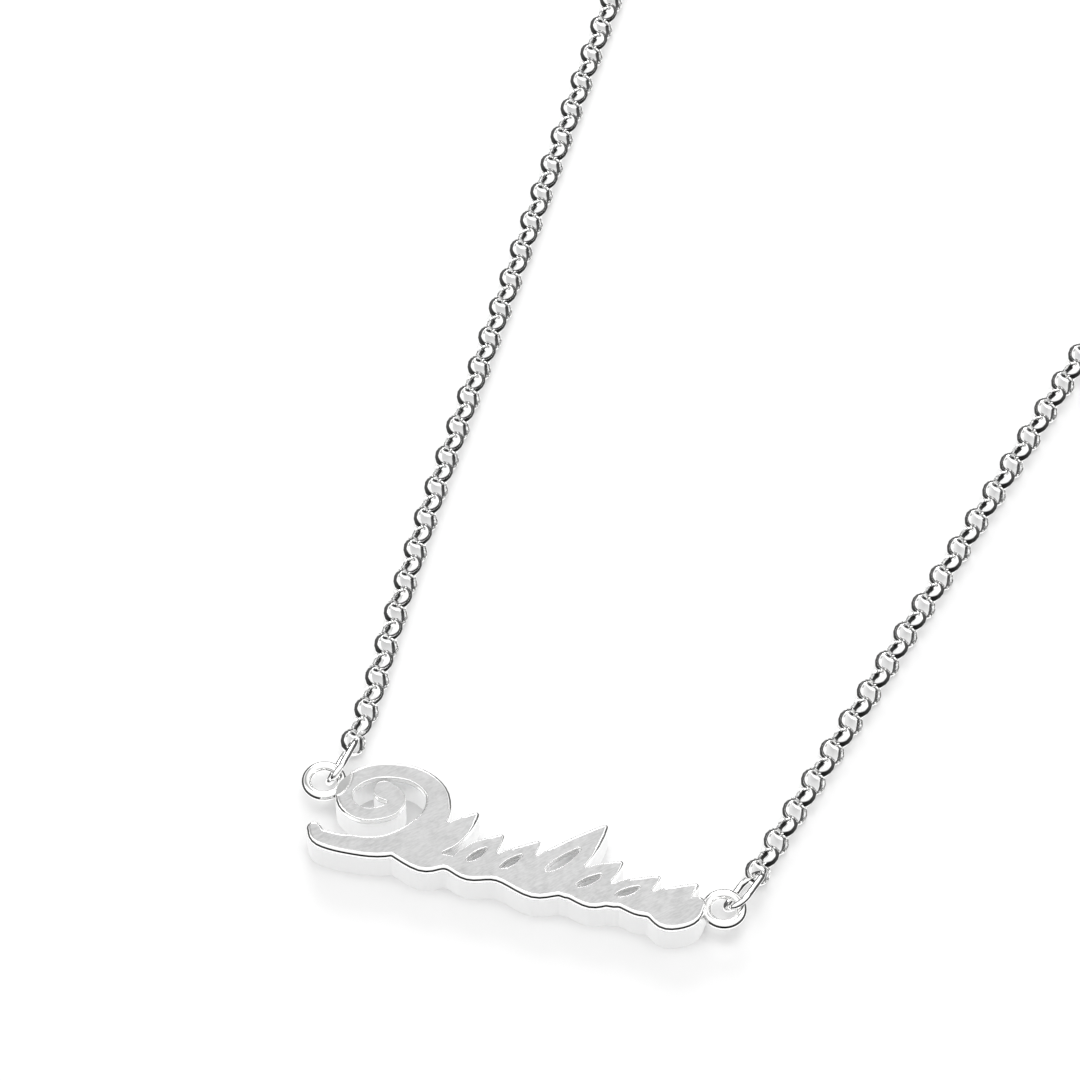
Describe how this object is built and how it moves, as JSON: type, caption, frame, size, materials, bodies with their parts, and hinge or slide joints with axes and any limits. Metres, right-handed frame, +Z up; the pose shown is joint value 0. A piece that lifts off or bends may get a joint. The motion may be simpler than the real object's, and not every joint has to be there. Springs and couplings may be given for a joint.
{
  "type": "nameplate necklace",
  "caption": "Silver necklace: a thick cut-out scroll and leaf plate on a belcher chain that a ring clasp closes.",
  "frame": {"origin": "On the plate's back face, in the middle of its wavy stem, where the back lies on the surface", "axes": "+X along the plate from the left end ring to the right one, +Y from the plate into the loop of the chain, +Z up from the surface out of the plate's front"},
  "size_m": [0.0758, 0.1713, 0.0033],
  "materials": {
    "plate_silver": "fine satin sterling silver with polished edges",
    "ring_silver": "polished sterling silver wire",
    "chain_silver": "polished sterling silver band",
    "clasp_silver": "polished sterling silver tube"
  },
  "bodies": {
    "root": {"nameplate": "plate_silver", "jump_ring_left": "ring_silver", "jump_ring_right": "ring_silver", "chain_left": "chain_silver", "chain_right": "chain_silver", "tie_ring": "ring_silver", "clasp": "clasp_silver", "end_ring": "ring_silver"}
  },
  "joints": []
}
